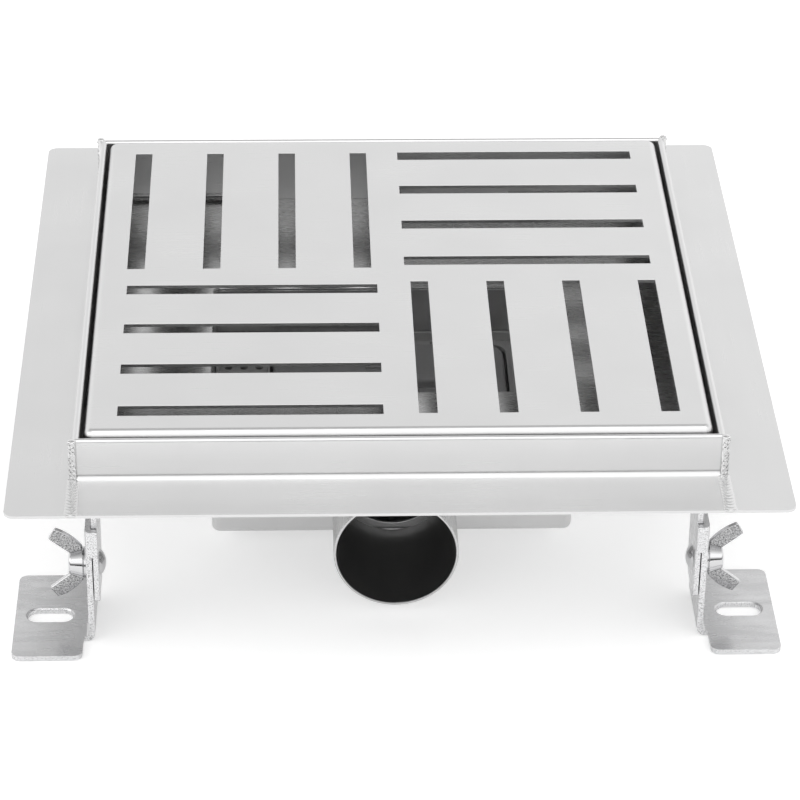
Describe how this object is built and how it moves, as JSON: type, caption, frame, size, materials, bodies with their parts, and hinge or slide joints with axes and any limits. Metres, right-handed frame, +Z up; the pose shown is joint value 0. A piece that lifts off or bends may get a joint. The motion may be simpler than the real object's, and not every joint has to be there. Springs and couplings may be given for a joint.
{
  "type": "floor drain grate",
  "caption": "Square stainless shower floor drain: basket-weave slotted grate, welded flange frame, sump with lift-out bell trap, side outlet and height-adjustable clamp feet.",
  "frame": {"origin": "on the floor under the middle of the flange", "axes": "+Z up, the outlet points to -Y"},
  "size_m": [0.3048, 0.3, 0.101],
  "materials": {
    "frame_steel": "fine brushed stainless sheet",
    "grate_steel": "fine brushed stainless sheet",
    "tray_steel": "mill-finish stainless sheet",
    "outlet_steel": "bright stainless tube, dark inside",
    "weld_steel": "rippled weld bead",
    "zinc_plate": "zinc-plated pressed sheet",
    "zinc_bolt": "zinc-plated bolt and washer",
    "zinc_wing": "zinc-plated cast wing nut",
    "trap_plastic": "moulded grey polypropylene",
    "bell_plastic": "moulded dark grey polypropylene",
    "gasket_rubber": "black rubber ring"
  },
  "bodies": {
    "drain": {"flange_front": "frame_steel", "flange_rear": "frame_steel", "flange_left": "frame_steel", "flange_right": "frame_steel", "corner_welds": "weld_steel", "tray_pan": "tray_steel", "sump_box": "tray_steel", "outlet_pipe": "outlet_steel", "outlet_weld": "weld_steel", "hanger_front_right": "zinc_plate", "clamp_bolt_front_right": "zinc_bolt", "hanger_front_left": "zinc_plate", "clamp_bolt_front_left": "zinc_bolt", "hanger_rear_right": "zinc_plate", "clamp_bolt_rear_right": "zinc_bolt", "hanger_rear_left": "zinc_plate", "clamp_bolt_rear_left": "zinc_bolt"},
    "grate": {"grate_cover": "grate_steel"},
    "trap": {"trap_body": "trap_plastic", "trap_gasket": "gasket_rubber"},
    "bell": {"trap_bell": "bell_plastic"},
    "strainer": {"strainer_deck": "trap_plastic"},
    "foot_front_right": {"foot_front_right": "zinc_plate"},
    "washer_front_right": {"washer_front_right": "zinc_bolt"},
    "wing_nut_front_right": {"wing_nut_front_right": "zinc_wing"},
    "foot_front_left": {"foot_front_left": "zinc_plate"},
    "washer_front_left": {"washer_front_left": "zinc_bolt"},
    "wing_nut_front_left": {"wing_nut_front_left": "zinc_wing"},
    "foot_rear_right": {"foot_rear_right": "zinc_plate"},
    "washer_rear_right": {"washer_rear_right": "zinc_bolt"},
    "wing_nut_rear_right": {"wing_nut_rear_right": "zinc_wing"},
    "foot_rear_left": {"foot_rear_left": "zinc_plate"},
    "washer_rear_left": {"washer_rear_left": "zinc_bolt"},
    "wing_nut_rear_left": {"wing_nut_rear_left": "zinc_wing"}
  },
  "joints": [
    {"name": "grate_lift", "type": "slide", "parent": "drain", "child": "grate", "axis": [0, 0, 1], "range_m": [0, 0.06]},
    {"name": "trap_lift", "type": "slide", "parent": "drain", "child": "trap", "axis": [0, 0, 1], "range_m": [0, 0.025]},
    {"name": "bell_lift", "type": "slide", "parent": "trap", "child": "bell", "axis": [0, 0, 1], "range_m": [0, 0.012]},
    {"name": "strainer_lift", "type": "slide", "parent": "trap", "child": "strainer", "axis": [0, 0, 1], "range_m": [0, 0.012]},
    {"name": "foot_height_front_right", "type": "slide", "parent": "drain", "child": "foot_front_right", "axis": [0, 0, 1], "range_m": [-0.014, 0.009]},
    {"name": "washer_slide_front_right", "type": "slide", "parent": "drain", "child": "washer_front_right", "axis": [1, 0, 0], "range_m": [0, 0.002]},
    {"name": "wing_nut_spin_front_right", "type": "hinge", "parent": "washer_front_right", "child": "wing_nut_front_right", "pos_m": [0.1238, -0.1047, 0.0305], "axis": [1, 0, 0], "range_deg": [0, 722]},
    {"name": "foot_height_front_left", "type": "slide", "parent": "drain", "child": "foot_front_left", "axis": [0, 0, 1], "range_m": [-0.014, 0.009]},
    {"name": "washer_slide_front_left", "type": "slide", "parent": "drain", "child": "washer_front_left", "axis": [-1, 0, 0], "range_m": [0, 0.002]},
    {"name": "wing_nut_spin_front_left", "type": "hinge", "parent": "washer_front_left", "child": "wing_nut_front_left", "pos_m": [-0.1238, -0.1047, 0.0305], "axis": [-1, 0, 0], "range_deg": [0, 722]},
    {"name": "foot_height_rear_right", "type": "slide", "parent": "drain", "child": "foot_rear_right", "axis": [0, 0, 1], "range_m": [-0.014, 0.009]},
    {"name": "washer_slide_rear_right", "type": "slide", "parent": "drain", "child": "washer_rear_right", "axis": [1, 0, 0], "range_m": [0, 0.002]},
    {"name": "wing_nut_spin_rear_right", "type": "hinge", "parent": "washer_rear_right", "child": "wing_nut_rear_right", "pos_m": [0.1238, 0.1047, 0.0305], "axis": [1, 0, 0], "range_deg": [0, 722]},
    {"name": "foot_height_rear_left", "type": "slide", "parent": "drain", "child": "foot_rear_left", "axis": [0, 0, 1], "range_m": [-0.014, 0.009]},
    {"name": "washer_slide_rear_left", "type": "slide", "parent": "drain", "child": "washer_rear_left", "axis": [-1, 0, 0], "range_m": [0, 0.002]},
    {"name": "wing_nut_spin_rear_left", "type": "hinge", "parent": "washer_rear_left", "child": "wing_nut_rear_left", "pos_m": [-0.1238, 0.1047, 0.0305], "axis": [-1, 0, 0], "range_deg": [0, 722]}
  ],
  "couplings": [
    {"joint": "wing_nut_spin_front_right", "follows": "washer_slide_front_right", "rad_per_m": 6283.2},
    {"joint": "wing_nut_spin_front_left", "follows": "washer_slide_front_left", "rad_per_m": 6283.2},
    {"joint": "wing_nut_spin_rear_right", "follows": "washer_slide_rear_right", "rad_per_m": 6283.2},
    {"joint": "wing_nut_spin_rear_left", "follows": "washer_slide_rear_left", "rad_per_m": 6283.2}
  ]
}
